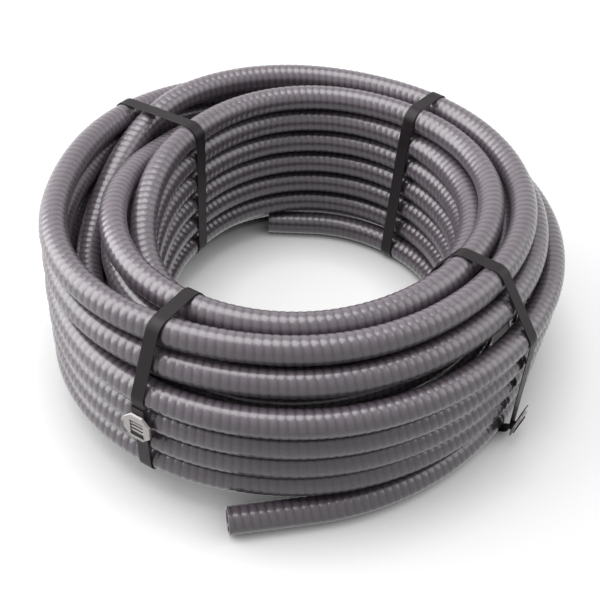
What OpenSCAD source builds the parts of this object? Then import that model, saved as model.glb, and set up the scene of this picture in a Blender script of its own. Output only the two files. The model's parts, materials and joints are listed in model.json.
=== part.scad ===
// Coil of ribbed waste hose held by four buckled straps.
// Z is up, the straps' undersides lie on Z = 0 and the coil's middle is on the Z axis.
// The hose starts inside the coil on the bottom row, climbs the inner column, crosses to
// the middle columns, goes down and up again there, crosses to the outer column and
// comes down it to its free end. Seen from above it runs clockwise.

/* [Hose] */
// Outside diameter over the ribs
hose_d = 30; // [24:1:34]
// Thickness of the wall in the groove between two ribs
hose_wall = 1.9; // [1.8:0.1:2.8]
// Distance from one rib to the next
rib_pitch = 8.7; // [7:0.1:11]
// Height of a rib above the groove beside it
rib_h = 0.6; // [0.5:0.1:1.5]
// Width of the rigid spiral inside the wall
spiral_d = 0.8; // [0.6:0.1:0.9]
// Length of the straight free end that takes a fitting
free_end_len = 60; // [45:1:90]
// Length of the straight cut end inside the coil
inner_end_len = 60; // [45:1:64]
// Length of ribbed hose that lies straight ahead of the free end
tail_run = 29; // [20:1:60]

/* [Coil] */
// Radius of the inner column, at the middle of the hose
coil_r = 191; // [176:1:260]
// Gap between neighbouring turns
turn_gap = 1.5; // [1.4:0.1:4]
// Rows of hose in the inner column at the front
rows = 6; // [4:2:8]
// How far the inner end steps in from its column
inner_step = 12.5; // [12:0.5:20]
// How far the coil is out of round, from its mean radius
oval_r = 14.7; // [0:0.1:16]
// Direction in which the coil is longest, from +X
oval_angle = 62.5; // [50:0.5:90]
// How far the coil swells in three directions, from its mean radius
lobe_r = 2.8; // [0:0.1:3.5]
// Direction of the first of those three, from +X
lobe_angle = -9.5; // [-30:0.5:30]
// How much wider the bundle grows towards its loosest side
loose_w = 8.9; // [0:0.1:12]
// Direction of the bundle's loosest side, from +X
loose_angle = 23; // [0:1:60]
// How far the outer column stands off the middle one, in pitches, where it begins
stand_out = 0.7; // [0:0.01:0.8]
// How much of that the outer column loses from turn to turn
stand_fall = 0.07; // [0:0.01:0.1]
// Direction at which the straight free run leaves the coil, from +X
leave_angle = 271; // [271:1:280]
// How far the last turn has swung out there
swing_out = 14.7; // [10:0.1:18]
// Ribs on the outer run, ahead of the free end
run_ribs = 40; // [36:1:56]

/* [Straps] */
// Width of a strap
strap_w = 15; // [10:0.5:18]
// Thickness of a strap
strap_t = 1; // [0.8:0.1:1.6]
// Gap between a strap and the hose
strap_gap = 0.5; // [0.4:0.1:1.5]

/* [Buckles] */
// Width of the border at each side of a buckle's window
border_w = 8; // [5:0.5:10]
// Height of the border above the window
border_top = 8; // [5:0.5:10]
// Height of the border below the window
border_foot = 3.5; // [2.5:0.5:4]
// Thickness of a buckle's plate
buckle_t = 2.6; // [2.6:0.1:4]
// Diameter of the round pivot bar across the foot of the window
pivot_d = 2.4; // [2:0.1:2.6]
// Number of cross bars above the pivot bar
bars = 3; // [2:1:4]
// Height of one cross bar
bar_h = 1.5; // [1.4:0.1:3]
// Thickness of one cross bar, from front to back
bar_t = 1.2; // [1:0.1:2.6]
// Height of the slot between two cross bars
slot_h = 3.5; // [2.6:0.1:4]
// Side gap between a strap and a buckle's window
window_gap = 0.5; // [0.3:0.1:1]
// Gap between a buckle and the strap threaded through it
thread_gap = 0.4; // [0.3:0.1:0.5]
// Room behind the threaded strap in which a buckle tilts
swing_room = 1.2; // [1:0.1:2]
// Running clearance of a pivot bar in its strap eye
pivot_gap = 0.3; // [0.2:0.05:0.5]
// Height of the front left buckle's pivot bar above the ground
high_pivot = 98; // [80:1:104]
// Height of the front right buckle's pivot bar above the ground
low_pivot = 16; // [14:1:60]
// Height of the back buckles' pivot bars above the ground
back_pivot = 56; // [50:1:90]
// How far the front right buckle leans out, in degrees
lean = 12; // [0:1:15]
// Length of threaded strap that stands above a buckle
tail_len = 9; // [4:1:20]

/* [Hidden] */

front = 270;                      // direction of the front, where turn numbers change
ring_step = 15;                   // angle between two rings of the coil's tube
ring_angle = 233;                 // direction of one of those rings
front_left = 237;                 // directions of the four straps
front_right = 323;
back_left = 143;
back_right = 50;
inner_end_angle = 85;             // direction at which the straight inner end begins
pitch = hose_d + turn_gap;        // from one turn's middle to the next
lift = strap_t + strap_gap;       // height of the hose's underside
groove_r = hose_d / 2 - rib_h;
bore_r = groove_r - hose_wall;
hose_grey = "#77737a";
spiral_grey = "#9b98a0";
strap_black = "#2b2a2c";
buckle_pale = "#cfc7c4";
round_fn = 32;
hull_fn = 24;                     // sides of the circles that the straps are drawn round

// ---- the winding ----
// A turn's number is n, and f is the share of it that has passed since the front.
// Places in the bundle are counted in pitches: across from the inner column, and up from
// the bottom row.
last_turn = 3 * rows + 1;
down_turn = rows * 3 / 2;         // the last turn that goes down the middle of the bundle
function ease(x) = let (c = min(1, max(0, x))) c * c * c * (10 - 15 * c + 6 * c * c);
function spread(f) = ease(f / 0.24);              // the columns draw apart to the left
function gather(f) = ease((f - 0.36) / 0.24);     // and close up again at the back
function climb(f) = ease((f - 0.12) / 0.22);      // the inner column climbs a row
function pass(f) = ease((f - 0.18) / 0.24);       // the middle columns pass each other
function drop(f) = ease((f - 0.26) / 0.24);       // the outer column drops a row
function crown(f) = ease((f - 0.52) / 0.24);      // the top turns move over the joints below
function seat(side) = sqrt(1 - side * side);      // height of a turn that lies on another
// How far the outer column stands off, after so many turns of it.
outer_turn = 2 * rows + 2;
function stand(turns) =
    stand_out * ease((turns - 0.3) / 0.4) - stand_fall * max(0, turns - 1);

function row_at_front(n) =
    n < 0 ? 0
    : n < rows ? n
    : n <= down_turn ? 3 * rows + 1 - 2 * n
    : n <= 2 * rows ? 2 * (n - down_turn - 1)
    : last_turn - n;

function across(n, f) =
    n < rows - 1 ? 0
    : n == rows - 1 ? 0.5 * crown(f)
    : n == rows ? 0.5 + 0.5 * spread(f)
    : n <= down_turn ? 1
    : n < 2 * rows ? 1 + spread(f) - gather(f)
    : n == 2 * rows ? 1 + spread(f) - 0.8 * gather(f) + 0.3 * crown(f)
    : n == 2 * rows + 1 ? 1.5 + 1.5 * spread(f) - gather(f)
    : let (apart = spread(f) - gather(f))
        2 + apart + (1 - apart) * stand(n + f - outer_turn);

function height(n, f) =
    n < 0 ? 0
    : n < rows - 1 ? n + climb(f)
    : n == rows - 1 ? rows - 2 + climb(f) + seat(0.5 * crown(f))
    : n == rows ? rows - 1 + seat(0.5 - 0.5 * spread(f)) - pass(f)
    : n < 2 * rows ? row_at_front(n) + (row_at_front(n + 1) - row_at_front(n)) * pass(f)
    : n == 2 * rows ? row_at_front(n) - 1 + 2 * pass(f) + seat(0.5 * crown(f))
    : n == 2 * rows + 1 ? rows - 1 + seat(0.5 - 0.5 * spread(f)) - drop(f)
    : n < last_turn ? row_at_front(n) - drop(f)
    : 0;

function angle_at(u) = front - 360 * u;
function turn_at(angle, n) = n + (front - angle) / 360;
start_turn = turn_at(inner_end_angle, -1);
step_turns = 0.29;                // the share of a turn in which the inner end steps in
leave_turn = turn_at(leave_angle, last_turn);
swing_turns = 0.235;              // the share of a turn over which the last turn swings out
function swing(u) = 2 * swing_out * ease((1 + (u - leave_turn) / swing_turns) / 2);
function step_in(u) = inner_step * ease((start_turn + step_turns - u) / step_turns);
// How far the inner column lies from a circle, and how much a pitch grows, in a direction.
function out_of_round(a) = oval_r * cos(2 * (a - oval_angle)) + lobe_r * cos(3 * (a - lobe_angle));
function looser(a) = loose_w / 2 * (1 + cos(a - loose_angle)) / 2;
function radius_at(u) =
    coil_r + (pitch + looser(angle_at(u))) * across(floor(u), u - floor(u)) - step_in(u)
    + out_of_round(angle_at(u)) + swing(u);
function level_at(u) = lift + hose_d / 2 + pitch * height(floor(u), u - floor(u));
function route(u) = let (a = angle_at(u), r = radius_at(u)) [r * cos(a), r * sin(a), level_at(u)];
function unit(v) = v / norm(v);
function heading(u) = let (v = route(u + 0.0005) - route(u - 0.0005)) unit([v[0], v[1], 0]);

start_point = route(start_turn);
start_way = heading(start_turn);
leave_point = route(leave_turn);
leave_way = heading(leave_turn);

// The ribbed outer run is measured back from the free end: a stretch of the outermost turn,
// then a straight stretch.
run_arc = run_ribs * rib_pitch - tail_run;
join_turn = leave_turn - run_arc / (2 * PI * norm([leave_point[0], leave_point[1]]));
join_point = route(join_turn);
join_way = heading(join_turn);

// ---- tubes with one unbroken skin ----
// A ring of points about p, square to the way the hose runs there.
function ring(p, way, r, sides) =
    let (side = unit(cross(way, [0, 0, 1])), up = cross(side, way))
    [for (k = [0:sides - 1]) let (a = 360 * k / sides) p + r * (cos(a) * up + sin(a) * side)];
function flat(rings) = [for (one = rings) for (p = one) p];
// The way at each point of a polyline, halfway between the stretches that meet there.
function ways(points) =
    [for (i = [0:len(points) - 1])
        i == 0 ? unit(points[1] - points[0])
        : i == len(points) - 1 ? unit(points[i] - points[i - 1])
        : unit(unit(points[i + 1] - points[i]) + unit(points[i] - points[i - 1]))];
function skin(count, sides, first) =
    [for (i = [0:count - 2]) for (k = [0:sides - 1])
        let (a = first + i * sides + k, b = first + i * sides + (k + 1) % sides)
        each [[a, b, b + sides], [a, b + sides, a + sides]]];
function lid(sides, first) = [for (k = [1:sides - 2]) [first, first + k + 1, first + k]];
function turned(faces) = [for (f = faces) [f[2], f[1], f[0]]];
// A flat ring of faces between two loops of points.
function rim(sides, outer, inner) =
    [for (k = [0:sides - 1]) let (m = (k + 1) % sides)
        each [[outer + k, inner + m, outer + m], [outer + k, inner + k, inner + m]]];

module solid_tube(points, r, sides) {
    n = len(points);
    way = ways(points);
    polyhedron(flat([for (i = [0:n - 1]) ring(points[i], way[i], r, sides)]),
        concat(skin(n, sides, 0), lid(sides, 0), turned(lid(sides, (n - 1) * sides))));
}

module ribbed_tube(points, radii, bore, every, sides) {
    n = len(points);
    way = ways(points);
    kept = concat([for (i = [0:every:n - 2]) i], [n - 1]);
    m = len(kept);
    polyhedron(
        flat(concat([for (i = [0:n - 1]) ring(points[i], way[i], radii[i], sides)],
            [for (i = kept) ring(points[i], way[i], bore, sides)])),
        concat(skin(n, sides, 0), turned(skin(m, sides, n * sides)),
            rim(sides, 0, n * sides),
            turned(rim(sides, (n - 1) * sides, (n + m - 1) * sides))));
}

// ---- the wound coil ----
// Its rings stand at fixed directions, so neighbouring turns keep step with each other.
// Each end runs straight for one diameter into the piece that it meets.
ring_phase = (front - ring_angle) % ring_step;
end_share = 1.5 * hose_d / (2 * PI * coil_r);
coil_turns =
    [for (i = [floor(24 * start_turn):ceil(24 * join_turn)])
        let (u = (ring_phase + ring_step * i) / 360)
        if (u > start_turn + end_share && u < join_turn - end_share) u];
coil_points = concat(
    [start_point, start_point + hose_d * start_way],
    [for (u = coil_turns) route(u)],
    [join_point - hose_d * join_way, join_point]);
coil_sides = 6;

// The least distance between the middles of two stretches that aren't neighbours, less the
// diameter. Each point is held against the points about one turn and more further on.
coil_mids = [for (i = [0:len(coil_points) - 2]) (coil_points[i] + coil_points[i + 1]) / 2];
coil_samples = [for (i = [0:len(coil_mids) - 1]) each [coil_points[i], coil_mids[i]]];
near_turn = 40;                   // samples in a little under one turn
least_gap = min([for (i = [0:len(coil_samples) - near_turn - 1])
    for (j = [i + near_turn:len(coil_samples) - 1])
        if (abs(coil_samples[i][0] - coil_samples[j][0]) < 2 * hose_d)
            norm(coil_samples[i] - coil_samples[j]) - hose_d]);
echo(least_gap_of_coil_to_itself_mm = least_gap);
function reach(points) =
    [for (i = 0, s = 0; i < len(points); i = i + 1,
        s = s + (i < len(points) ? norm(points[i] - points[i - 1]) : 0)) s];
coil_reach = reach([for (u = [start_turn:1 / 144:leave_turn]) route(u)]);
hose_len = coil_reach[len(coil_reach) - 1] + tail_run + free_end_len + inner_end_len;
echo(hose_length_mm = hose_len);

module hose_coil() {
    color(hose_grey) solid_tube(coil_points, hose_d / 2, coil_sides);
}

// ---- the ribbed outer run ----
// It starts straight for one diameter, eases back onto the outermost turn and leaves it
// along a straight line.
function run_turn(s) = join_turn + (leave_turn - join_turn) * s / run_arc;
run_step = join_point + hose_d * join_way - route(run_turn(hose_d));
function run_point(s) =
    s <= hose_d ? join_point + s * join_way
    : s < run_arc ? route(run_turn(s)) + run_step * (1 - ease((s - hose_d) / (run_arc - hose_d)))
    : leave_point + (s - run_arc) * leave_way;
run_rings = [for (i = [0:2 * run_ribs]) i * rib_pitch / 2];
run_radii = [for (i = [0:2 * run_ribs]) i % 2 == 0 ? groove_r : hose_d / 2];
run_sides = 8;
bore_every = 9;

module hose_outer_run() {
    color(hose_grey)
        ribbed_tube([for (s = run_rings) run_point(s)], run_radii, bore_r, bore_every, run_sides);
}

// ---- the straight ends ----
// Along Z, from 0 to the length: ribbed outside, with a round bore.
end_sides = 16;
module straight_end(length) {
    count = floor(length / rib_pitch);
    margin = (length - count * rib_pitch) / 2;
    heights = concat([0], [for (i = [0:2 * count]) margin + i * rib_pitch / 2], [length]);
    radii = concat([groove_r], [for (i = [0:2 * count]) i % 2 == 0 ? groove_r : hose_d / 2],
        [groove_r]);
    n = len(heights);
    difference() {
        polyhedron(
            [for (i = [0:n - 1]) for (k = [0:end_sides - 1]) let (a = -360 * k / end_sides)
                [radii[i] * cos(a), radii[i] * sin(a), heights[i]]],
            concat(skin(n, end_sides, 0), lid(end_sides, 0),
                turned(lid(end_sides, (n - 1) * end_sides))));
        translate([0, 0, -hose_d]) cylinder(r = bore_r, h = length + 2 * hose_d, $fn = round_fn);
    }
}

// A spiral of wire inside the wall, along Z, from 0 to the length.
spiral_rings = 12;                // rings in one curl
spiral_cover = 0.5;               // wall left outside the spiral
module spiral(length) {
    r = groove_r - spiral_cover - spiral_d / 2;
    inset = spiral_d;
    count = floor((length - 2 * inset) / rib_pitch * spiral_rings);
    points = [for (i = [0:count]) let (a = 360 * i / spiral_rings)
        [r * cos(a), r * sin(a), inset + i * rib_pitch / spiral_rings]];
    solid_tube(points, spiral_d / 2, 3);
}

// Places something that stands on Z at p, along a level way.
module along(p, way) {
    translate(p) rotate([0, 90, atan2(way[1], way[0])]) children();
}

free_start = leave_point + tail_run * leave_way;
module hose_free_end() {
    color(hose_grey) along(free_start, leave_way) straight_end(free_end_len);
}
module free_end_spiral() {
    color(spiral_grey) along(free_start, leave_way) spiral(free_end_len);
}
module hose_inner_end() {
    color(hose_grey) along(start_point, -start_way) straight_end(inner_end_len);
}
module inner_end_spiral() {
    color(spiral_grey) along(start_point, -start_way) spiral(inner_end_len);
}

// ---- the straps ----
// The turns that pass a strap, as places in its own upright plane.
function turns_at(angle) =
    [for (n = [-1:last_turn]) let (u = turn_at(angle, n))
        if (u >= start_turn && u <= leave_turn) u];
// A place on the hose, and its way there. The coil runs straight from ring to ring, and the
// ribbed run follows its own line.
function stretch_at(u) =
    u > join_turn
        ? let (s = run_arc * (u - join_turn) / (leave_turn - join_turn), p = run_point(s))
            [p, run_point(s + 1) - p]
    : let (first = (ring_phase + ring_step * floor((360 * u - ring_phase) / ring_step)) / 360,
           p = route(first), whole = route(first + ring_step / 360) - p)
        [p + (u - first) * 360 / ring_step * whole, whole];
// Cuts through the turns across a strap's width, as [radius, height, slanted half width].
function cuts_at(angle) =
    let (out = [cos(angle), sin(angle), 0], aside = [-sin(angle), cos(angle), 0])
    [for (u = turns_at(angle)) for (share = [-0.5, -0.25, 0, 0.25, 0.5])
        let (at = stretch_at(u + share * strap_w / (2 * PI * radius_at(u))))
            [at[0] * out, at[0][2], hose_d / 2 * norm(at[1]) / abs(at[1] * aside)]];
function wall_at(angle) =
    max([for (c = cuts_at(angle)) c[0] + (c[2] + strap_gap + strap_t) / cos(180 / hull_fn)]);

// A strap's outline, flat where it lies on the ground.
module around_turns(angle, margin) {
    intersection() {
        hull() for (c = cuts_at(angle))
            translate([c[0], c[1]]) circle(r = (c[2] + margin) / cos(180 / hull_fn), $fn = hull_fn);
        translate([0, lift - margin]) square(2 * wall_at(angle));
    }
}

// Turns a drawing of radius and height upright, at a strap's direction.
module upright(angle, width) {
    rotate([90, 0, angle]) linear_extrude(width, center = true) children();
}

eye_r = pivot_d / 2 + pivot_gap;              // inside radius of the eye round a pivot bar
// From a strap's face to its pivot axis: room to tilt, the threaded strap, half the plate.
axis_out = swing_room + strap_t + thread_gap + buckle_t / 2;

function pivot_z(angle) =
    angle == front_left ? high_pivot : angle == front_right ? low_pivot : back_pivot;

module strap(angle) {
    color(strap_black) upright(angle, strap_w) difference() {
        union() {
            around_turns(angle, strap_gap + strap_t);
            // the strap's end, folded round the buckle's pivot bar
            translate([wall_at(angle) - hose_d / 2, pivot_z(angle) + eye_r])
                square([axis_out + hose_d / 2, strap_t]);
            translate([wall_at(angle) + axis_out, pivot_z(angle)])
                circle(r = eye_r + strap_t, $fn = round_fn);
        }
        around_turns(angle, strap_gap);
        translate([wall_at(angle) + axis_out, pivot_z(angle)]) circle(r = eye_r, $fn = round_fn);
    }
}
module strap_front_left() { strap(front_left); }
module strap_front_right() { strap(front_right); }
module strap_back_left() { strap(back_left); }
module strap_back_right() { strap(back_right); }

// ---- the buckles ----
// In a buckle's own frame the pivot bar lies on Y, X points away from the coil and Z is up.
window_w = strap_w + 2 * window_gap;
plate_w = window_w + 2 * border_w;
eye_room = eye_r + strap_t + pivot_gap;       // from the pivot axis to the nearest edge
bar_step = bar_h + slot_h;
window_top = eye_room + bars * bar_step;
plate_top = window_top + border_top;
plate_foot = -eye_room - border_foot;
corner = 0.28 * plate_w;

module buckle_outline() {
    polygon([[-plate_w / 2, plate_foot + corner], [-plate_w / 2 + corner, plate_foot],
             [plate_w / 2 - corner, plate_foot], [plate_w / 2, plate_foot + corner],
             [plate_w / 2, plate_top - corner], [plate_w / 2 - corner, plate_top],
             [-plate_w / 2 + corner, plate_top], [-plate_w / 2, plate_top - corner]]);
}

// Puts a buckle's own frame at its pivot, tilted out by an angle.
module at_pivot(angle, tilt) {
    rotate(angle) translate([wall_at(angle) + axis_out, 0, pivot_z(angle)])
        rotate([0, tilt, 0]) children();
}

module buckle(angle, tilt = 0) {
    bar_w = window_w + border_w;              // the bars run into the side borders
    color(buckle_pale) at_pivot(angle, tilt) union() {
        rotate([90, 0, 90]) linear_extrude(buckle_t, center = true) difference() {
            buckle_outline();
            translate([-window_w / 2, -eye_room]) square([window_w, window_top + eye_room]);
        }
        for (i = [0:bars - 1])
            translate([-bar_t / 2, -bar_w / 2, eye_room + i * bar_step])
                cube([bar_t, bar_w, bar_h]);
        rotate([90, 0, 0]) cylinder(d = pivot_d, h = bar_w, center = true, $fn = round_fn);
    }
}
module buckle_front_left() { buckle(front_left); }
module buckle_front_right() { buckle(front_right, lean); }
module buckle_back_left() { buckle(back_left); }
module buckle_back_right() { buckle(back_right); }

// ---- the threaded strap ends ----
// A strip drawn along a line of points, with round corners.
module ribbon(points) {
    for (i = [0:len(points) - 2]) let (v = points[i + 1] - points[i])
        translate(points[i]) rotate(atan2(v[1], v[0]))
            translate([0, -strap_t / 2]) square([norm(v), strap_t]);
    for (i = [1:len(points) - 2]) translate(points[i]) circle(d = strap_t, $fn = 16);
}

ahead = buckle_t / 2 + thread_gap + strap_t / 2;
behind = -ahead;
tail_foot = eye_room + thread_gap;
tail_top = plate_top + tail_len;
low_slot = eye_room + bar_h + slot_h / 2;
high_slot = window_top - slot_h / 2;

module tail(angle, tilt = 0, over_bars = true) {
    color(strap_black) at_pivot(angle, tilt)
        rotate([90, 0, 0]) linear_extrude(strap_w, center = true) ribbon(concat(
            [[behind, tail_top]],
            over_bars ? [[behind, high_slot], [ahead, high_slot], [ahead, low_slot],
                         [behind, low_slot]] : [],
            [[behind, tail_foot]]));
}
module tail_front_left() { tail(front_left, over_bars = false); }
module tail_front_right() { tail(front_right, lean); }
module tail_back_left() { tail(back_left); }
module tail_back_right() { tail(back_right); }

hose_coil();
hose_outer_run();
hose_free_end();
hose_inner_end();
free_end_spiral();
inner_end_spiral();
strap_front_left();
strap_front_right();
strap_back_left();
strap_back_right();
buckle_front_left();
buckle_front_right();
buckle_back_left();
buckle_back_right();
tail_front_left();
tail_front_right();
tail_back_left();
tail_back_right();
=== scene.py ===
import json
import math

import bmesh
import bpy
import numpy as np
from bpy.props import FloatProperty, IntProperty, PointerProperty, StringProperty
from mathutils import Matrix


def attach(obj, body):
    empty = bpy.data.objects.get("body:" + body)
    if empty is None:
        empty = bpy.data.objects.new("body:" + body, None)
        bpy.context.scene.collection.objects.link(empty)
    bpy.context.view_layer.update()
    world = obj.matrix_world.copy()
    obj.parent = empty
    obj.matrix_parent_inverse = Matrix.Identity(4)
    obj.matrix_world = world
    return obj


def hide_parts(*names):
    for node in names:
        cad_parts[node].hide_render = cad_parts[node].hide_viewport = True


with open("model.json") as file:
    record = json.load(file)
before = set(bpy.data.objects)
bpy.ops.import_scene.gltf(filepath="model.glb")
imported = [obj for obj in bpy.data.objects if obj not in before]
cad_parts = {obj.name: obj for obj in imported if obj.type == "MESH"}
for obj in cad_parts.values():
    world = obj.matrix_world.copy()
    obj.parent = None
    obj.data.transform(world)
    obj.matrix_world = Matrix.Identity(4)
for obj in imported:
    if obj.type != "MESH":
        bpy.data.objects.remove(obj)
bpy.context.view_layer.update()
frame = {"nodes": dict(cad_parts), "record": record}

bl_info = {
    "name": "Coil of Waste Hose",
    "version": (1, 0, 0),
    "blender": (4, 5, 0),
    "location": "3D View > Sidebar > Hose",
    "description": "Coil of ribbed waste hose held by four buckled straps",
    "category": "Add Mesh",
}

MM = 0.001
TAU = 2 * math.pi


# ---------------------------------------------------------------------------
# Sizes and colours that a user would change
# ---------------------------------------------------------------------------
def size(name, description, default):
    """A length in millimetres as a property."""
    return FloatProperty(name=name, description=description + ", in mm", default=default)


def paint(name, description, default):
    """An sRGB hex colour as a property."""
    return StringProperty(name=name, description=description + ", as an sRGB hex colour", default=default)


class HoseSizes(bpy.types.PropertyGroup):
    """The hose and the way it is wound."""

    diameter: size("Diameter", "Outside diameter over the ribs", 30.0)
    wall: size("Wall", "Thickness of the wall in the groove between two ribs", 2.1)
    rib_pitch: size("Rib pitch", "Distance from one rib to the next", 8.7)
    rib_h: size("Rib height", "Height of a rib above its groove", 0.4)
    spiral_d: size("Spiral", "Width of the rigid spiral in the wall", 0.8)
    turn_gap: size("Turn gap", "Gap between neighbouring turns", 1.5)
    coil_r: size("Coil radius", "Radius of the inner column of turns", 191.0)
    inner_step: size("Inner step", "How far the inner end steps in", 12.5)
    free_end: size("Free end", "Length of the straight free end and the run ahead of it", 89.0)
    swing_out: size("Swing out", "How far the last turn has swung out where the straight run leaves it", 14.7)
    inner_end: size("Inner end", "Length of the straight inner end", 60.0)
    bore_depth: size("Bore depth", "Depth to which the bore of a cut end is made", 230.0)
    rows: IntProperty(name="Rows", description="Rows of hose in the inner column", default=6)
    sides: IntProperty(name="Sides", description="Points round the hose", default=16)
    pieces: IntProperty(name="Lengths", description="Lengths that the hose is divided into", default=5)
    colour: paint("Colour", "Hose", "#665e66")
    # The groove colour is painted shade: a darker colour laid into the grooves between the ribs.
    groove: paint("Groove", "Dull film that collects in the grooves", "#4d454b")
    spiral_colour: paint("Spiral colour", "Rigid spiral", "#9b98a0")


class StrapSizes(bpy.types.PropertyGroup):
    """The straps, and the eyes in which their buckles hang."""

    width: size("Width", "Width of a strap", 15.0)
    thickness: size("Thickness", "Thickness of a strap", 1.0)
    gap: size("Gap", "Gap between a strap and the hose", 0.3)
    colour: paint("Colour", "Strap", "#1b1619")


class BuckleSizes(bpy.types.PropertyGroup):
    """The ladder buckles."""

    edge: size("Edge", "Radius of a buckle's rounded edges", 0.5)
    colour: paint("Colour", "Buckle", "#ece5e3")


class StageSizes(bpy.types.PropertyGroup):
    """The floor and the camera."""

    floor: size("Floor", "Width of the floor", 40000.0)
    lens: FloatProperty(name="Lens", default=61.68,
                        description="Focal length of the camera, in mm on a 36 mm sensor")


SIZES = (
    ("coil_hose", HoseSizes),
    ("coil_straps", StrapSizes),
    ("coil_buckles", BuckleSizes),
    ("coil_stage", StageSizes),
)


# ---------------------------------------------------------------------------
# Meshes
# ---------------------------------------------------------------------------
SHARP = 60.0                    # edges that turn by more than this stay sharp, in degrees


def shade_smooth(mesh, sharp):
    """Smooth shading across every edge that turns by less than sharp, in degrees."""
    mesh.polygons.foreach_set("use_smooth", np.ones(len(mesh.polygons), bool))
    mesh.set_sharp_from_angle(angle=math.radians(sharp))


def new_piece(name, points, face_groups, material, body, sharp=SHARP):
    """Puts points, in mm, and groups of faces into a mesh at the origin, and lets it ride on a body. The
    faces of one group have as many corners as each other."""
    mesh = bpy.data.meshes.new(name)
    faces = [face for group in face_groups for face in group.tolist()]
    mesh.from_pydata((points * MM).tolist(), [], faces)
    mesh.validate()
    mesh.update()
    shade_smooth(mesh, sharp)
    mesh.materials.append(material)
    obj = bpy.data.objects.new(name, mesh)
    bpy.context.collection.objects.link(obj)
    if body:
        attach(obj, body)
    return obj


def grid_faces(rows, columns, closed_rows=False, closed_columns=True):
    """Four-cornered faces of a grid of rows by columns, either way closed on itself or open."""
    i = np.arange(rows if closed_rows else rows - 1)[:, None]
    j = np.arange(columns if closed_columns else columns - 1)[None, :]
    here, right = i * columns + j, i * columns + (j + 1) % columns
    below = ((i + 1) % rows) * columns + j
    across = ((i + 1) % rows) * columns + (j + 1) % columns
    return np.stack([here, right, across, below], -1).reshape(-1, 4)


def caps(rows, columns):
    """The first and the last row of an open grid, each as one face that looks away from the grid's middle
    when the grid's own faces look outwards."""
    first = np.arange(columns)[None, :]
    return [first[:, ::-1], first + (rows - 1) * columns]


def turned(face_groups):
    """The same faces, looking the other way."""
    return [group[:, ::-1] for group in face_groups]


# ---------------------------------------------------------------------------
# The winding: the same route as the part's solids, as whole arrays
# ---------------------------------------------------------------------------
FRONT = 270.0                   # direction of the front, in degrees, where turn numbers change
INNER_END_ANGLE = 85.0          # direction at which the straight inner end begins
LEAVE_ANGLE = 271.0             # direction at which the free end leaves
STRAP_ANGLES = {"front_left": 237.0, "front_right": 323.0, "back_left": 143.0, "back_right": 50.0}
OVAL = (14.7, 62.5)             # two-lobed wave of the radius: mm and direction
LOBE = (2.8, -9.5)              # three-lobed wave
LOOSE = (8.9, 23.0)             # how much looser the columns lie, and where most
STAND_OUT = 0.7                 # pitches by which the outermost turns stand out
STAND_FALL = 0.07               # and how much less with each turn
TOP_GATHER, TOP_CROWN = 0.8, 0.3    # the first top turn's own shares of two moves
STEP_TURNS = 0.29               # share of a turn in which the inner end steps in
SWING_TURNS = 0.235             # share of a turn over which the last turn swings out
LIFT = 1.5                      # height of the hose's underside, in mm
NEAR = 0.0005                   # a turn's share that is short enough to take a direction from
TURN_STEPS = 720                # points in one turn of the line
INNER_STEPS, FREE_STEPS = 30, 60    # points in the straight ends

# The moves in one round: the share of the round at which a move starts, and the share that it takes
SPREAD = (0.0, 0.24)            # the columns draw apart
GATHER = (0.36, 0.24)           # and close up again
CLIMB = (0.12, 0.22)            # the inner column climbs a row
PASSING = (0.18, 0.24)          # the middle columns pass each other
DROP = (0.26, 0.24)             # the outer column drops a row
CROWN = (0.52, 0.24)            # the top turns move over the joints below
STAND = (0.3, 0.4)              # the outermost turns come to stand out


def smoothed(x):
    """A step from 0 to 1 whose slope and bend are nil at both ends: x cubed times (10 - 15x + 6x squared)."""
    c = np.clip(x, 0, 1)
    return c ** 3 * (10 - 15 * c + 6 * c * c)


def moved(f, move):
    """How far a move has come at share f of the round, from 0 to 1."""
    start, takes = move
    return smoothed((f - start) / takes)


def seat(aside):
    """Height of a turn over one that lies so many pitches aside: the square root of 1 - aside squared."""
    return np.sqrt(np.maximum(0, 1 - aside * aside))


def last_turn(rows):
    """The number of the turn that the free end leaves."""
    return 3 * rows + 1


def turn_at(angle, n):
    """The turns run at a direction of round n, counted from the front of round 0."""
    return n + (FRONT - angle) / 360


def row_at_front(n, rows):
    """The row in which turn n passes the front: up the inner column, down and up the middle ones, down the
    outer one."""
    down = rows * 3 / 2
    return np.select([n < 0, n < rows, n <= down, n <= 2 * rows],
                     [0 * n, n, last_turn(rows) - 2 * n, 2 * (n - down - 1)], last_turn(rows) - n)


def across(n, f, rows):
    """How many pitches out from the inner column turn n lies, at the share f of its round."""
    spread, gather, crown = moved(f, SPREAD), moved(f, GATHER), moved(f, CROWN)
    apart = spread - gather
    turns = n + f - (2 * rows + 2)
    stand = STAND_OUT * moved(turns, STAND) - STAND_FALL * np.maximum(0, turns - 1)
    return np.select(
        [n < rows - 1, n == rows - 1, n == rows, n <= rows * 3 / 2,
         n < 2 * rows, n == 2 * rows, n == 2 * rows + 1],
        [0 * f, 0.5 * crown, 0.5 + 0.5 * spread, 1 + 0 * f,
         1 + apart, 1 + spread - TOP_GATHER * gather + TOP_CROWN * crown, 1.5 + 1.5 * spread - gather],
        2 + apart + (1 - apart) * stand)


def height(n, f, rows):
    """How many pitches above the bottom row turn n lies, at the share f of its round."""
    row, following = row_at_front(n, rows), row_at_front(n + 1, rows)
    climb, passing, drop = moved(f, CLIMB), moved(f, PASSING), moved(f, DROP)
    over, beside = seat(0.5 * moved(f, CROWN)), seat(0.5 - 0.5 * moved(f, SPREAD))
    return np.select(
        [n < 0, n < rows - 1, n == rows - 1, n == rows,
         n < 2 * rows, n == 2 * rows, n == 2 * rows + 1, n < last_turn(rows)],
        [0 * f, n + climb, rows - 2 + climb + over, rows - 1 + beside - passing,
         row + (following - row) * passing, row - 1 + 2 * passing + over,
         rows - 1 + beside - drop, row - drop],
        0 * f)


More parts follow.
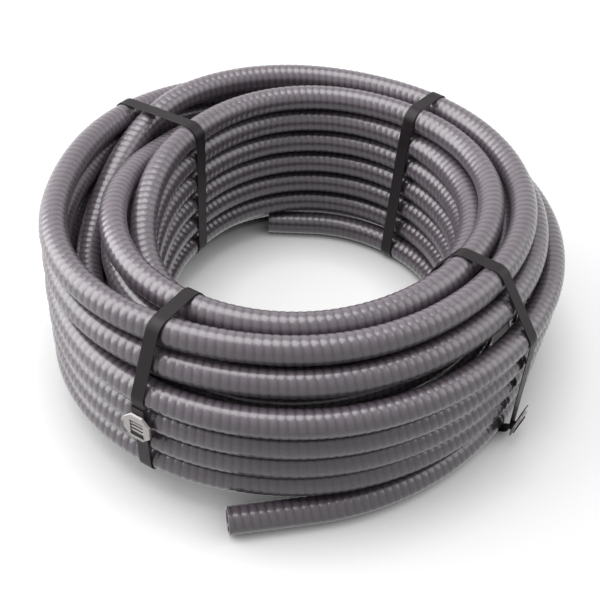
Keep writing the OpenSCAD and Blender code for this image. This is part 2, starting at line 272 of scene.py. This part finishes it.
def ends(hose):
    """The turns at which the winding starts and at which the hose leaves it."""
    return turn_at(INNER_END_ANGLE, -1), turn_at(LEAVE_ANGLE, last_turn(hose.rows))


def route(u, hose):
    """The hose's middle at turn u: it goes round clockwise, its radius the inner column's plus the pitches
    across, out of round by a two-lobed and a three-lobed wave, its height the pitches up."""
    u = np.asarray(u, float)
    n = np.floor(u)
    f, angle = u - n, np.radians(FRONT - 360 * u)
    pitch = hose.diameter + hose.turn_gap
    start, leave = ends(hose)
    looser = LOOSE[0] / 2 * (1 + np.cos(angle - math.radians(LOOSE[1]))) / 2
    r = (hose.coil_r + (pitch + looser) * across(n, f, hose.rows)
         - hose.inner_step * smoothed((start + STEP_TURNS - u) / STEP_TURNS)
         + OVAL[0] * np.cos(2 * (angle - math.radians(OVAL[1])))
         + LOBE[0] * np.cos(3 * (angle - math.radians(LOBE[1])))
         + 2 * hose.swing_out * smoothed((1 + (u - leave) / SWING_TURNS) / 2))
    z = LIFT + hose.diameter / 2 + pitch * height(n, f, hose.rows)
    return np.stack([r * np.cos(angle), r * np.sin(angle), z], -1)


def heading(u, hose):
    """The level way in which the route runs at turn u, one unit long."""
    v = route(u + NEAR, hose) - route(u - NEAR, hose)
    v[2] = 0
    return v / np.linalg.norm(v)


def hose_line(hose):
    """The whole hose as a line: the straight inner end, the winding, the straight free end."""
    start, leave = ends(hose)
    turns = np.linspace(start, leave, int((leave - start) * TURN_STEPS))
    inner = np.linspace(-hose.inner_end, 0, INNER_STEPS, endpoint=False)[:, None] * heading(start, hose)
    free = np.linspace(0, hose.free_end, FREE_STEPS)[1:, None] * heading(leave, hose)
    return np.concatenate([route(start, hose) + inner, route(turns, hose), route(leave, hose) + free])


class Line:
    """A line with a distance, a side and an up at each of its points, all read by distance."""

    def __init__(self, points):
        self.points = points
        self.reach = np.concatenate([[0], np.cumsum(np.linalg.norm(np.diff(points, axis=0), axis=1))])
        self.length = float(self.reach[-1])
        way = np.gradient(points, self.reach, axis=0)
        way /= np.linalg.norm(way, axis=1)[:, None]
        side = np.cross(way, [0, 0, 1])
        side /= np.linalg.norm(side, axis=1)[:, None]
        self.side, self.up = side, np.cross(side, way)

    def read(self, values, s):
        """The line's values at distances s, on straight lines between its points."""
        return np.stack([np.interp(s, self.reach, values[:, k]) for k in range(3)], -1)

    def skin(self, s, angle, radius):
        """Points round the line: its middle at s plus radius times (cos angle up + sin angle sideways)."""
        up, side = self.read(self.up, s), self.read(self.side, s)
        return self.read(self.points, s) + radius[..., None] * (
            np.cos(angle)[..., None] * up + np.sin(angle)[..., None] * side)


# ---------------------------------------------------------------------------
# Hose
# ---------------------------------------------------------------------------
# Along one rib pitch: (share of the pitch, share of the rib's height)
RIB_SHAPE = ((0.0, 0.0), (0.1, 0.18), (0.26, 0.86), (0.5, 1.0), (0.74, 0.86), (0.9, 0.18))
RINGS = len(RIB_SHAPE)
PHASE_SLACK = 1e-7              # keeps a rib's first point from being read as its last
LIP, LIP_DEPTH = 0.3, 0.6       # widening of the bore at the cut and the depth it reaches, in mm
BORE_START, BORE_RINGS = 6, 30  # depth of the first ring past the lip, in mm, and the rings from there
WELD_AT = 2e-6                  # distance at which the points at a cut merge, in m
CURL_STEPS, WIRE_SIDES = 24, 6  # points in one round of the spiral, and round its wire
WIRE_SINK = 0.15                # how far the wire's middle lies in the wall, in mm


def rib_height(phase, hose):
    """The hose's radius at a share of the rib pitch: a narrow flat groove, steep flanks and a slightly
    crowned crest, read off RIB_SHAPE by straight lines."""
    at, rise = np.array([*RIB_SHAPE, (1.0, RIB_SHAPE[0][1])]).T
    return hose.diameter / 2 - hose.rib_h * (1 - np.interp((phase + PHASE_SLACK) % 1, at, rise))


def bore_radius(hose):
    """Half the outside diameter less the rib and the wall."""
    return hose.diameter / 2 - hose.rib_h - hose.wall


def hose_rings(line, hose, first, last):
    """Rings first to last of the ribbed skin, the share of the rib's height at each point, and each point's
    distance. A ring is a screw line: its k-th point lies k/sides of a rib pitch further along the hose, so
    the rib climbs one pitch a round, as the spiral in the wall does."""
    ring = np.arange(first, last)
    at = np.array([x for x, _ in RIB_SHAPE])
    k = np.arange(hose.sides)
    s = (ring // RINGS + at[ring % RINGS])[:, None] * hose.rib_pitch + hose.rib_pitch * k / hose.sides
    s = np.clip(s, 0, line.length)
    radius = rib_height(s / hose.rib_pitch - k / hose.sides, hose)
    angle = np.broadcast_to(TAU * k / hose.sides, s.shape)
    return line.skin(s, angle, radius), (radius - hose.diameter / 2 + hose.rib_h) / hose.rib_h, s


def screw_faces(count, sides):
    """Faces of count rings that are screw lines: the seam joins a ring's last point to the first point of
    the ring one pitch on."""
    i = np.arange(count)[:, None]
    k = np.arange(sides)[None, :]
    here = i * sides + k
    right = (i + np.where(k == sides - 1, RINGS, 0)) * sides + (k + 1) % sides
    return np.stack([right, right + sides, here + sides, here], -1).reshape(-1, 4)


def closing_fan(ring, sides, middle, far):
    """Triangles from the screw-shaped rim of a ring and its seam to a middle point, which close the near or
    the far end of a length."""
    first = ring * sides
    rim = np.concatenate([first + np.arange(sides), first + sides * np.arange(RINGS, 0, -1)])
    fan = np.stack([rim, np.roll(rim, -1), np.full(len(rim), middle)], -1)
    return fan if far else fan[:, [1, 0, 2]]


def end_of(line, at_start):
    """The distance of an end of the line, and the sign of the way that runs inwards from it."""
    return (0.0, 1) if at_start else (line.length, -1)


def cut_end(line, hose, at_start):
    """A cut end's annulus, its bore and the bore's bottom, as points and groups of faces. The bore is a
    plain tube of rings that runs inwards from the cut."""
    k = np.arange(hose.sides)
    angle = TAU * k / hose.sides
    end, inward = end_of(line, at_start)
    depths = np.concatenate([[0.0, LIP_DEPTH], np.linspace(BORE_START, hose.bore_depth, BORE_RINGS)])
    radii = bore_radius(hose) + np.where(depths == 0, LIP, 0)
    rim = rib_height(end / hose.rib_pitch - k / hose.sides, hose)
    outer = line.skin(np.full(hose.sides, end), angle, rim)
    bore = [line.skin(np.full(hose.sides, end + inward * depth), angle, np.full(hose.sides, radius))
            for depth, radius in zip(depths, radii)]
    middle = line.read(line.points, np.array([end + inward * depths[-1]]))
    points = np.concatenate([outer, *bore, middle])
    last = len(depths) * hose.sides
    bottom = np.stack([last + k, last + (k + 1) % hose.sides, np.full(hose.sides, len(points) - 1)], -1)
    faces = [grid_faces(len(depths) + 1, hose.sides), bottom]
    return points, turned(faces) if at_start else faces


def weld_cut(mesh):
    """Merges the points that a cut plane has gathered, and drops what is left without an area."""
    tool = bmesh.new()
    tool.from_mesh(mesh)
    bmesh.ops.remove_doubles(tool, verts=tool.verts, dist=WELD_AT)
    bmesh.ops.dissolve_degenerate(tool, edges=tool.edges, dist=WELD_AT / 2)
    tool.to_mesh(mesh)
    tool.free()
    shade_smooth(mesh, SHARP)


class COIL_OT_hose(bpy.types.Operator):
    """Makes the ribbed hose in several lengths, with its cut ends and the spiral in its bore"""

    bl_idname = "coil.hose"
    bl_label = "Hose"

    def execute(self, context):
        hose = context.scene.coil_hose
        line = Line(hose_line(hose))
        ribs = int(math.ceil(line.length / hose.rib_pitch)) + 1
        cuts = np.linspace(-1, ribs, hose.pieces + 1).astype(int) * RINGS
        for j in range(hose.pieces):
            self.hose_length(line, hose, j, cuts[j], cuts[j + 1] - cuts[j])
        for end, at_start in (("inner_end", True), ("free_end", False)):
            self.spiral(line, hose, end, at_start)
        return {"FINISHED"}

    def hose_length(self, line, hose, j, first, count):
        """Length j of the hose: count rings of skin from ring first on, with a bore where the hose is cut
        and closed where it meets the next length."""
        at_start, at_end = j == 0, j == hose.pieces - 1
        points, rise, s = hose_rings(line, hose, first, first + count + RINGS + 1)
        points, rise = points.reshape(-1, 3), rise.ravel()
        faces = [screw_faces(count, hose.sides)]
        for ring, far, bare in ((0, False, at_start), (count, True, at_end)):
            if not bare:
                faces.append(closing_fan(ring, hose.sides, len(points), far))
                points = np.concatenate([points, line.read(line.points, np.array([s[ring].mean()]))])
        for near, bare in ((True, at_start), (False, at_end)):
            if bare:
                more, more_faces = cut_end(line, hose, near)
                faces += [group + len(points) for group in more_faces]
                points = np.concatenate([points, more])
        used = np.zeros(len(points), bool)
        used[np.concatenate([group.ravel() for group in faces])] = True
        number = np.cumsum(used) - 1
        obj = new_piece(f"hose_length_{j + 1}", points[used], [number[group] for group in faces],
                        made_of(hose_flexible_pvc, hose), "root")
        rise = np.concatenate([rise, np.zeros(len(points) - len(rise))])[used]
        # The share of the rib's height, by which the material paints shade into the grooves
        layer = obj.data.attributes.new("rib", "FLOAT", "POINT")
        layer.data.foreach_set("value", rise.astype(np.float32))
        if at_start or at_end:
            weld_cut(obj.data)
        stands_for = {0: ["hose_inner_end", "hose_coil"],
                      hose.pieces - 1: ["hose_outer_run", "hose_free_end"]}
        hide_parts(*stands_for.get(j, ["hose_coil"]))
        middles = np.unique(s[:count + 1, hose.sides // 2])
        path = line.read(line.points, middles) * MM

    def spiral(self, line, hose, end, at_start):
        """The rigid spiral where it shows in a cut end's bore: a thin round wire on a screw line whose
        radius is a little over the bore's."""
        edge, inward = end_of(line, at_start)
        turn = np.arange(int(hose.inner_end / hose.rib_pitch * CURL_STEPS)) / CURL_STEPS
        s = edge + inward * (hose.spiral_d + turn * hose.rib_pitch)
        wire = Line(line.skin(s, inward * TAU * turn, np.full(len(s), bore_radius(hose) + WIRE_SINK)))
        shape = (len(s), WIRE_SIDES)
        angle = np.broadcast_to(TAU * np.arange(WIRE_SIDES) / WIRE_SIDES, shape)
        reach = np.broadcast_to(wire.reach[:, None], shape)
        points = wire.skin(reach, angle, np.full(shape, hose.spiral_d / 2)).reshape(-1, 3)
        faces = [grid_faces(*shape), *caps(*shape)]
        obj = new_piece(f"{end}_bore_spiral", points, faces, made_of(spiral_rigid_pvc, hose),
                        "root", 50)
        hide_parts(f"{end}_spiral")


# ---------------------------------------------------------------------------
# Straps
# ---------------------------------------------------------------------------
CUTS = 5                        # places across a strap at which the turns below are cut
DIRECTIONS = 1440               # directions in which a taut strap is felt for
OUTLINE_POINTS = 260            # points along a strap
ROUNDING = 0.3                  # a strap's rounded corner, as a share of its thickness
EYE_R = 1.5                     # inner radius of a strap's eye: the buckle's bar and its gap, in mm
EYE_WRAP = (90, -200, 30)       # where the eye starts and ends on its circle, in degrees, and its points
WEB_POINTS = 8                  # points between the strap and its eye
WEB_SINK = 0.2                  # how deep in the strap that stretch begins, in mm
SWING_ROOM = 5.3                # from a buckle's pivot to the strap behind it, in mm
BEND_R = 9.0                    # radius at which a strap turns inwards behind its buckle, in mm


def crossings(angle, hose, width):
    """Where the turns cross a strap's width, as rows of (radius, height, half width of the slanted cut),
    taken at several places across the strap."""
    start, leave = ends(hose)
    u = turn_at(angle, np.arange(-1, last_turn(hose.rows) + 1))
    u = u[(u >= start) & (u <= leave)]
    r = np.linalg.norm(route(u, hose)[:, :2], axis=1)
    u = (u[:, None] + np.linspace(-0.5, 0.5, CUTS) * width / (TAU * r[:, None])).ravel()
    a = math.radians(angle)
    out, aside = np.array([math.cos(a), math.sin(a), 0]), np.array([-math.sin(a), math.cos(a), 0])
    p, way = route(u, hose), route(u + 2 * NEAR, hose) - route(u - 2 * NEAR, hose)
    slant = np.linalg.norm(way, axis=1) / np.abs(way @ aside)
    return np.stack([p @ out, p[:, 2], hose.diameter / 2 * slant], -1)


def taut_outline(circles, gap, floor):
    """The shortest closed line round circles grown by a gap, kept above the floor: for each direction the
    point of the circle that reaches furthest that way, then spaced evenly along the line."""
    theta = np.linspace(0, TAU, DIRECTIONS, endpoint=False)
    way = np.stack([np.cos(theta), np.sin(theta)], -1)
    reach = circles[:, :2] @ way.T + circles[:, 2:3] + gap
    best = reach.argmax(0)
    line = circles[best, :2] + (circles[best, 2] + gap)[:, None] * way
    line[:, 1] = np.maximum(line[:, 1], floor)
    line = np.concatenate([line, line[:1]])
    far = np.concatenate([[0], np.cumsum(np.linalg.norm(np.diff(line, axis=0), axis=1))])
    at = np.linspace(0, far[-1], OUTLINE_POINTS, endpoint=False)
    return np.stack([np.interp(at, far, line[:, k]) for k in range(2)], -1)


def band(line, strap, closed):
    """A flat strip drawn along a line of (out, up) points: a thin cross-section with four rounded corners is
    carried along, its thickness to the line's left. Gives points as (out, aside, up), and groups of faces."""
    following, previous = np.roll(line, -1, 0), np.roll(line, 1, 0)
    if not closed:
        following[-1], previous[0] = line[-1], line[0]
    way = following - previous
    way /= np.linalg.norm(way, axis=1)[:, None]
    normal = np.stack([way[:, 1], -way[:, 0]], -1)
    thick, half = strap.thickness, strap.width / 2
    e = ROUNDING * thick
    aside = np.array([-half, -half + e, 0, half - e, half, half, half - e, 0, -half + e, -half])
    off = np.array([e, 0, 0, 0, e, thick - e, thick, thick, thick, thick - e])
    place = line[:, None] + off[None, :, None] * normal[:, None]
    points = np.stack([place[..., 0], np.broadcast_to(aside, place.shape[:2]), place[..., 1]], -1)
    shape = place.shape[:2]
    faces = [grid_faces(*shape, closed_rows=closed)] + ([] if closed else caps(*shape))
    return points.reshape(-1, 3), turned(faces)


def placed(points, angle):
    """Points given as (out, aside, up), turned to a strap's direction."""
    a = math.radians(angle)
    out, aside, up = points.T
    x, y = out * math.cos(a) - aside * math.sin(a), out * math.sin(a) + aside * math.cos(a)
    return np.stack([x, y, up], -1)


def pivot(name):
    """A buckle's distance from the coil's axis and its height at its pivot, from the model's joint, in mm."""
    joints = frame["record"]["behaviour"]["joints"]
    x, y, z = next(joint["pos_m"] for joint in joints if joint["name"] == name + "_buckle_tilt")
    return math.hypot(x, y) / MM, z / MM


class COIL_OT_straps(bpy.types.Operator):
    """Makes the four straps, each with the eye in which its buckle hangs"""

    bl_idname = "coil.straps"
    bl_label = "Straps"

    def execute(self, context):
        hose, strap = context.scene.coil_hose, context.scene.coil_straps
        for name, angle in STRAP_ANGLES.items():
            r, z = pivot(name)
            behind = (r - SWING_ROOM - strap.gap - BEND_R, z + EYE_R, BEND_R)
            circles = np.vstack([crossings(angle, hose, strap.width), behind])
            outline = taut_outline(circles, strap.gap, strap.thickness)
            points, faces = band(outline, strap, True)
            more, more_faces = band(self.eye(outline, r, z), strap, False)
            faces += [group + len(points) for group in more_faces]
            obj = new_piece(f"strap_{name}_band", placed(np.concatenate([points, more]), angle), faces,
                            made_of(strap_rolled_polypropylene, strap), "root", 40)
            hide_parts(f"strap_{name}")
        return {"FINISHED"}

    def eye(self, outline, r, z):
        """The line of the strap's end, as (out, up) points: round the pivot, then straight back into the
        strap at the height of the eye's top."""
        around = np.radians(np.linspace(*EYE_WRAP))
        eye = np.stack([EYE_R * np.cos(around) + r, EYE_R * np.sin(around) + z], -1)
        outer = outline[outline[:, 0] > outline[:, 0].mean()]
        root = outer[np.abs(outer[:, 1] - z - EYE_R).argmin(), 0] + WEB_SINK
        web = np.stack([np.linspace(root, r, WEB_POINTS, endpoint=False), np.full(WEB_POINTS, EYE_R + z)], -1)
        return np.concatenate([web, eye])[::-1]


# ---------------------------------------------------------------------------
# Buckles
# ---------------------------------------------------------------------------
MERGE_AT = 1e-6                 # distance at which doubled points of the part's own pieces merge, in m
ROUNDED_FROM = 30               # edges of a buckle that turn by more than this are rounded, in degrees


def refinished(name, material):
    """One of the part's own pieces with another material, and with its doubled points merged."""
    piece = frame["nodes"][name]
    piece.data.materials.clear()
    piece.data.materials.append(material)
    weld = piece.modifiers.new("weld", "WELD")
    weld.merge_threshold = MERGE_AT
    return piece


class COIL_OT_buckles(bpy.types.Operator):
    """Gives the buckles and the threaded strap ends their plastic, and rounds the buckles' edges"""

    bl_idname = "coil.buckles"
    bl_label = "Buckles"

    def execute(self, context):
        buckle, strap = context.scene.coil_buckles, context.scene.coil_straps
        for name in STRAP_ANGLES:
            piece = refinished(f"buckle_{name}", made_of(buckle_moulded_nylon, buckle))
            rounded = piece.modifiers.new("rounded", "BEVEL")
            rounded.limit_method, rounded.angle_limit = "ANGLE", math.radians(ROUNDED_FROM)
            rounded.width, rounded.segments = buckle.edge * MM, 2
            rounded.harden_normals = True
            refinished(f"tail_{name}", made_of(strap_rolled_polypropylene, strap))
        return {"FINISHED"}


# ---------------------------------------------------------------------------
# Materials
# ---------------------------------------------------------------------------
PVC_IOR, NYLON_IOR, POLYPROPYLENE_IOR = 1.53, 1.53, 1.49


def linear(text):
    """An sRGB hex colour as linear RGBA: below 0.04045 divided by 12.92, above it a power of 2.4."""
    values = [int(text.lstrip("#")[k:k + 2], 16) / 255 for k in (0, 2, 4)]
    return [v / 12.92 if v <= 0.04045 else ((v + 0.055) / 1.055) ** 2.4 for v in values] + [1.0]


def shaded(colour, by):
    """A colour made darker or lighter by a factor."""
    return [by * c for c in colour[:3]] + [1.0]


def node(tree, kind, settings=None, **inputs):
    """Adds a node with its settings, and gives each input, named or numbered as i0, i1, a value or a link."""
    made = tree.nodes.new(kind)
    for key, value in (settings or {}).items():
        setattr(made, key, value)
    for key, value in inputs.items():
        numbered = key[0] == "i" and key[1:].isdigit()
        socket = made.inputs[int(key[1:]) if numbered else key]
        if isinstance(value, bpy.types.NodeSocket):
            tree.links.new(value, socket)
        else:
            socket.default_value = value
    return made


def blotches(tree, place, mm, detail):
    """Noise from 0 to 1 whose blotches are about so many millimetres wide on the mesh's own coordinates."""
    return node(tree, "ShaderNodeTexNoise", Vector=place, Scale=1 / (mm * MM), Detail=detail).outputs["Fac"]


def ranged(tree, value, low, high, to_low, to_high):
    """A value from the range low to high, carried to another range and held at its ends."""
    return node(tree, "ShaderNodeMapRange", i0=value, i1=low, i2=high, i3=to_low, i4=to_high).outputs[0]


def blended(tree, share, low, high):
    """The colour that lies a share of the way from low to high."""
    return node(tree, "ShaderNodeMix", {"data_type": "RGBA"}, i0=share, i6=low, i7=high).outputs[2]


def computed(tree, operation, a, b):
    """What an operation makes of two values."""
    return node(tree, "ShaderNodeMath", {"operation": operation}, i0=a, i1=b).outputs[0]


def made_of(finish, *sizes):
    """The material of a finish, which has the name of its function and is made when it is first asked for."""
    material = bpy.data.materials.get(finish.__name__)
    if material is None:
        material = bpy.data.materials.new(finish.__name__)
        material.use_nodes = True
        tree = material.node_tree
        tree.nodes.clear()
        shader = tree.nodes.new("ShaderNodeBsdfPrincipled")
        output = tree.nodes.new("ShaderNodeOutputMaterial")
        tree.links.new(shader.outputs[0], output.inputs[0])
        finish(tree, shader, tree.nodes.new("ShaderNodeTexCoord").outputs["Object"], *sizes)
    return material


def hose_flexible_pvc(tree, shader, place, hose):
    """Extruded flexible PVC over a rigid spiral: an even grey with a soft gloss, painted shade in the
    grooves, and slow changes of shade along its length from handling."""
    rib = node(tree, "ShaderNodeAttribute", {"attribute_name": "rib"}).outputs["Fac"]
    cloud, grain = blotches(tree, place, 90, 3.0), blotches(tree, place, 1.6, 2.0)
    scuff = blotches(tree, place, 14, 4.0)
    # Painted shade: the rib attribute blends the darker groove colour into the grooves
    base = blended(tree, rib, linear(hose.groove), linear(hose.colour))
    shade = ranged(tree, cloud, 0.3, 0.7, 0.93, 1.06)
    tint = node(tree, "ShaderNodeVectorMath", {"operation": "SCALE"}, i0=base, Scale=shade)
    tree.links.new(tint.outputs[0], shader.inputs["Base Color"])
    tree.links.new(ranged(tree, scuff, 0.3, 0.7, 0.3, 0.4), shader.inputs["Roughness"])
    shader.inputs["IOR"].default_value = PVC_IOR
    shader.inputs["Coat Weight"].default_value = 0.7
    shader.inputs["Coat Roughness"].default_value = 0.2
    bump = node(tree, "ShaderNodeBump", Strength=0.12, Distance=0.3 * MM, Height=grain)
    tree.links.new(bump.outputs[0], shader.inputs["Normal"])


def spiral_rigid_pvc(tree, shader, place, hose):
    """Rigid PVC wire moulded into the wall: paler and a little duller than the skin."""
    pale = linear(hose.spiral_colour)
    tint = blended(tree, blotches(tree, place, 2.5, 2.0), shaded(pale, 0.85), pale)
    tree.links.new(tint, shader.inputs["Base Color"])
    shader.inputs["Roughness"].default_value = 0.5
    shader.inputs["IOR"].default_value = PVC_IOR


def strap_rolled_polypropylene(tree, shader, place, strap):
    """Rolled polypropylene band: nearly black and satin, its shade and gloss a little uneven from the
    rollers, with a fine grain."""
    patch, grain = blotches(tree, place, 7, 4.0), blotches(tree, place, 0.9, 2.0)
    black = linear(strap.colour)
    tree.links.new(blended(tree, patch, shaded(black, 0.8), shaded(black, 1.25)), shader.inputs["Base Color"])
    tree.links.new(ranged(tree, patch, 0.3, 0.7, 0.36, 0.5), shader.inputs["Roughness"])
    shader.inputs["IOR"].default_value = POLYPROPYLENE_IOR
    shader.inputs["Specular IOR Level"].default_value = 0.25
    bump = node(tree, "ShaderNodeBump", Strength=0.2, Distance=0.2 * MM, Height=grain)
    tree.links.new(bump.outputs[0], shader.inputs["Normal"])


def buckle_moulded_nylon(tree, shader, place, buckle):
    """Injection-moulded pale nylon: a fine eroded grain from the mould and a satin gloss."""
    cloud, grain = blotches(tree, place, 9, 3.0), blotches(tree, place, 0.7, 2.0)
    pale = linear(buckle.colour)
    tree.links.new(blended(tree, cloud, shaded(pale, 0.88), pale), shader.inputs["Base Color"])
    shader.inputs["Roughness"].default_value = 0.42
    shader.inputs["IOR"].default_value = NYLON_IOR
    bump = node(tree, "ShaderNodeBump", Strength=0.15, Distance=0.2 * MM, Height=grain)
    tree.links.new(bump.outputs[0], shader.inputs["Normal"])


# ---------------------------------------------------------------------------
# Stage
# ---------------------------------------------------------------------------
CAMERA_PLACE = (-59.47, -932.32, 875.3)     # mm
CAMERA_TURN = (3.33, 41.71, 3.49)           # yaw from +Y towards +X, pitch down and roll, in degrees
SENSOR, FAR = 36.0, 100.0                   # width of the sensor in mm, end of the view in m
LAMPS = (  # name, place in m, width in m, watts
    ("top_lamp", (-0.35, 0.2, 2.2), 1.7, 38.0),
    ("left_lamp", (-2.1, 0.3, 1.4), 2.4, 78.0),
    ("right_lamp", (2.0, 0.1, 1.7), 1.8, 18.0),
)
LAMP_AIM = (0.0, 0.0, 0.08)                 # m
SOFT_LIGHT, PLAIN_WHITE = 0.09, 1.0         # strength of the surroundings as light, and as they are seen
FLOOR_DROP, FLOOR_POINTS = 0.05, 5          # how far the floor lies below the straps, in mm, and its grid
FLOOR_LIGHT = (0.1, 0.1, 0.1, 1)            # the floor's colour for the light that it throws back
# The floor's painted shadow: ambient occlusion within this reach darkens the floor
SHADE_REACH = 0.1                           # how far the floor looks for what shades it, in m


class COIL_OT_stage(bpy.types.Operator):
    """Makes the camera, the floor, the lamps and the plain white surroundings"""

    bl_idname = "coil.stage"
    bl_label = "Stage"

    def execute(self, context):
        stage = context.scene.coil_stage
        context.scene.view_settings.view_transform = "Standard"
        self.camera(context, stage)
        self.floor(stage)
        for name, place, width, watts in LAMPS:
            data = bpy.data.lights.new(name, "AREA")
            data.size, data.energy = width, watts
            lamp = bpy.data.objects.new(name, data)
            context.collection.objects.link(lamp)
            lamp.location = place
            lamp.rotation_euler = Matrix(look(np.array(LAMP_AIM) - np.array(place))).to_euler()
        self.world(context)
        return {"FINISHED"}

    def camera(self, context, stage):
        """The camera, with its right, up and back from its yaw, pitch and roll."""
        yaw, pitch, roll = (math.radians(v) for v in CAMERA_TURN)
        ahead = np.array([math.sin(yaw) * math.cos(pitch), math.cos(yaw) * math.cos(pitch), -math.sin(pitch)])
        right = np.array([math.cos(yaw), -math.sin(yaw), 0.0])
        up = np.cross(right, ahead)
        right, up = right * math.cos(roll) + up * math.sin(roll), up * math.cos(roll) - right * math.sin(roll)
        data = bpy.data.cameras.new("camera")
        data.sensor_width, data.lens, data.clip_end = SENSOR, stage.lens, FAR
        camera = bpy.data.objects.new("camera", data)
        context.collection.objects.link(camera)
        placed_at = Matrix(np.stack([right, up, -ahead], -1)).to_4x4()
        placed_at.translation = [v * MM for v in CAMERA_PLACE]
        camera.matrix_world = placed_at
        context.scene.camera = camera

    def floor(self, stage):
        """A flat grid under the straps, white to the camera and to gloss, with the coil's soft shadow, partly
        painted.
        """
        side = np.linspace(-stage.floor / 2, stage.floor / 2, FLOOR_POINTS)
        x, y = np.meshgrid(side, side)
        points = np.stack([x.ravel(), y.ravel(), np.full(x.size, -FLOOR_DROP)], -1)
        faces = grid_faces(FLOOR_POINTS, FLOOR_POINTS, closed_columns=False)
        obj = new_piece("floor", points, [faces], made_of(floor_matt_paper), None)

    def world(self, context):
        """Soft light from all round, and plain white where the camera, gloss or clear plastic sees it."""
        world = bpy.data.worlds.new("surroundings")
        context.scene.world = world
        world.use_nodes = True
        tree = world.node_tree
        tree.nodes.clear()
        strength = node(tree, "ShaderNodeMix", {"data_type": "FLOAT"}, i0=seen_directly(tree),
                        i2=SOFT_LIGHT, i3=PLAIN_WHITE)
        glow = node(tree, "ShaderNodeBackground", Color=(1, 1, 1, 1), Strength=strength.outputs[0])
        output = tree.nodes.new("ShaderNodeOutputWorld")
        tree.links.new(glow.outputs[0], output.inputs[0])


def look(aim):
    """Right, up and back of something that looks along aim, as a matrix."""
    back = -aim / np.linalg.norm(aim)
    right = np.cross([0, 0, 1.0], back)
    right /= np.linalg.norm(right)
    return np.stack([right, np.cross(back, right), back], -1)


def seen_directly(tree):
    """1 for rays from the camera, from gloss and through clear material, and 0 for light."""
    path = tree.nodes.new("ShaderNodeLightPath").outputs
    either = computed(tree, "MAXIMUM", path["Is Camera Ray"], path["Is Glossy Ray"])
    return computed(tree, "MAXIMUM", either, path["Is Transmission Ray"])


def floor_matt_paper(tree, shader, place):
    """Matt white paper: it takes the coil's shadow from the lamps, is white where the camera or gloss sees it
    bare, and brightens to plain white away from the coil. Under and between the turns its glow and the
    colour that the camera sees are darkened by ambient occlusion, as a painted shadow."""
    seen = seen_directly(tree)
    gloss = tree.nodes.new("ShaderNodeLightPath").outputs["Is Glossy Ray"]
    # Painted shadow: ambient occlusion darkens the floor's glow and the grey that the camera sees
    unshaded = node(tree, "ShaderNodeAmbientOcclusion", {"samples": 16}, Distance=SHADE_REACH).outputs["AO"]
    clear = ranged(tree, unshaded, 0.1, 0.9, 0.0, 1.0)
    shown = ranged(tree, unshaded, 0.04, 0.24, 0.0, 0.4)
    # Painted shade: the glow is dimmer near the coil and brightens to plain white away from it
    away = node(tree, "ShaderNodeVectorMath", {"operation": "LENGTH"}, i0=place).outputs["Value"]
    white_there = ranged(tree, away, 0.5, 2.0, 0.6, 1.0)
    bare = computed(tree, "MULTIPLY", seen, computed(tree, "MAXIMUM", gloss, clear))
    glow = computed(tree, "MULTIPLY", bare, white_there)
    tree.links.new(blended(tree, seen, FLOOR_LIGHT, shown), shader.inputs["Base Color"])
    tree.links.new(glow, shader.inputs["Emission Strength"])
    shader.inputs["Emission Color"].default_value = (1, 1, 1, 1)
    shader.inputs["Roughness"].default_value = 0.9
    shader.inputs["Specular IOR Level"].default_value = 0.0


# ---------------------------------------------------------------------------
# Panel and running
# ---------------------------------------------------------------------------
class COIL_PT_panel(bpy.types.Panel):
    """Lists the sizes and the operators"""

    bl_idname = "COIL_PT_panel"
    bl_label = "Coil of Waste Hose"
    bl_space_type = "VIEW_3D"
    bl_region_type = "UI"
    bl_category = "Hose"

    def draw(self, context):
        for name, group in SIZES:
            box = self.layout.box()
            for key in group.__annotations__:
                box.prop(getattr(context.scene, name), key)
        for operator in OPERATORS:
            self.layout.operator(operator.bl_idname)


OPERATORS = (COIL_OT_stage, COIL_OT_hose, COIL_OT_straps, COIL_OT_buckles)
CLASSES = (*(group for _, group in SIZES), *OPERATORS, COIL_PT_panel)


def register():
    """Registers the classes, and hangs the sizes on the scene."""
    for cls in CLASSES:
        bpy.utils.register_class(cls)
    for name, group in SIZES:
        setattr(bpy.types.Scene, name, PointerProperty(type=group))


def unregister():
    """Takes off again what register puts on."""
    for name, _ in SIZES:
        delattr(bpy.types.Scene, name)
    for cls in reversed(CLASSES):
        bpy.utils.unregister_class(cls)


def main():
    """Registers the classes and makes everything."""
    register()
    bpy.ops.coil.stage()
    bpy.ops.coil.hose()
    bpy.ops.coil.straps()
    bpy.ops.coil.buckles()


if __name__ == "__main__":
    main()
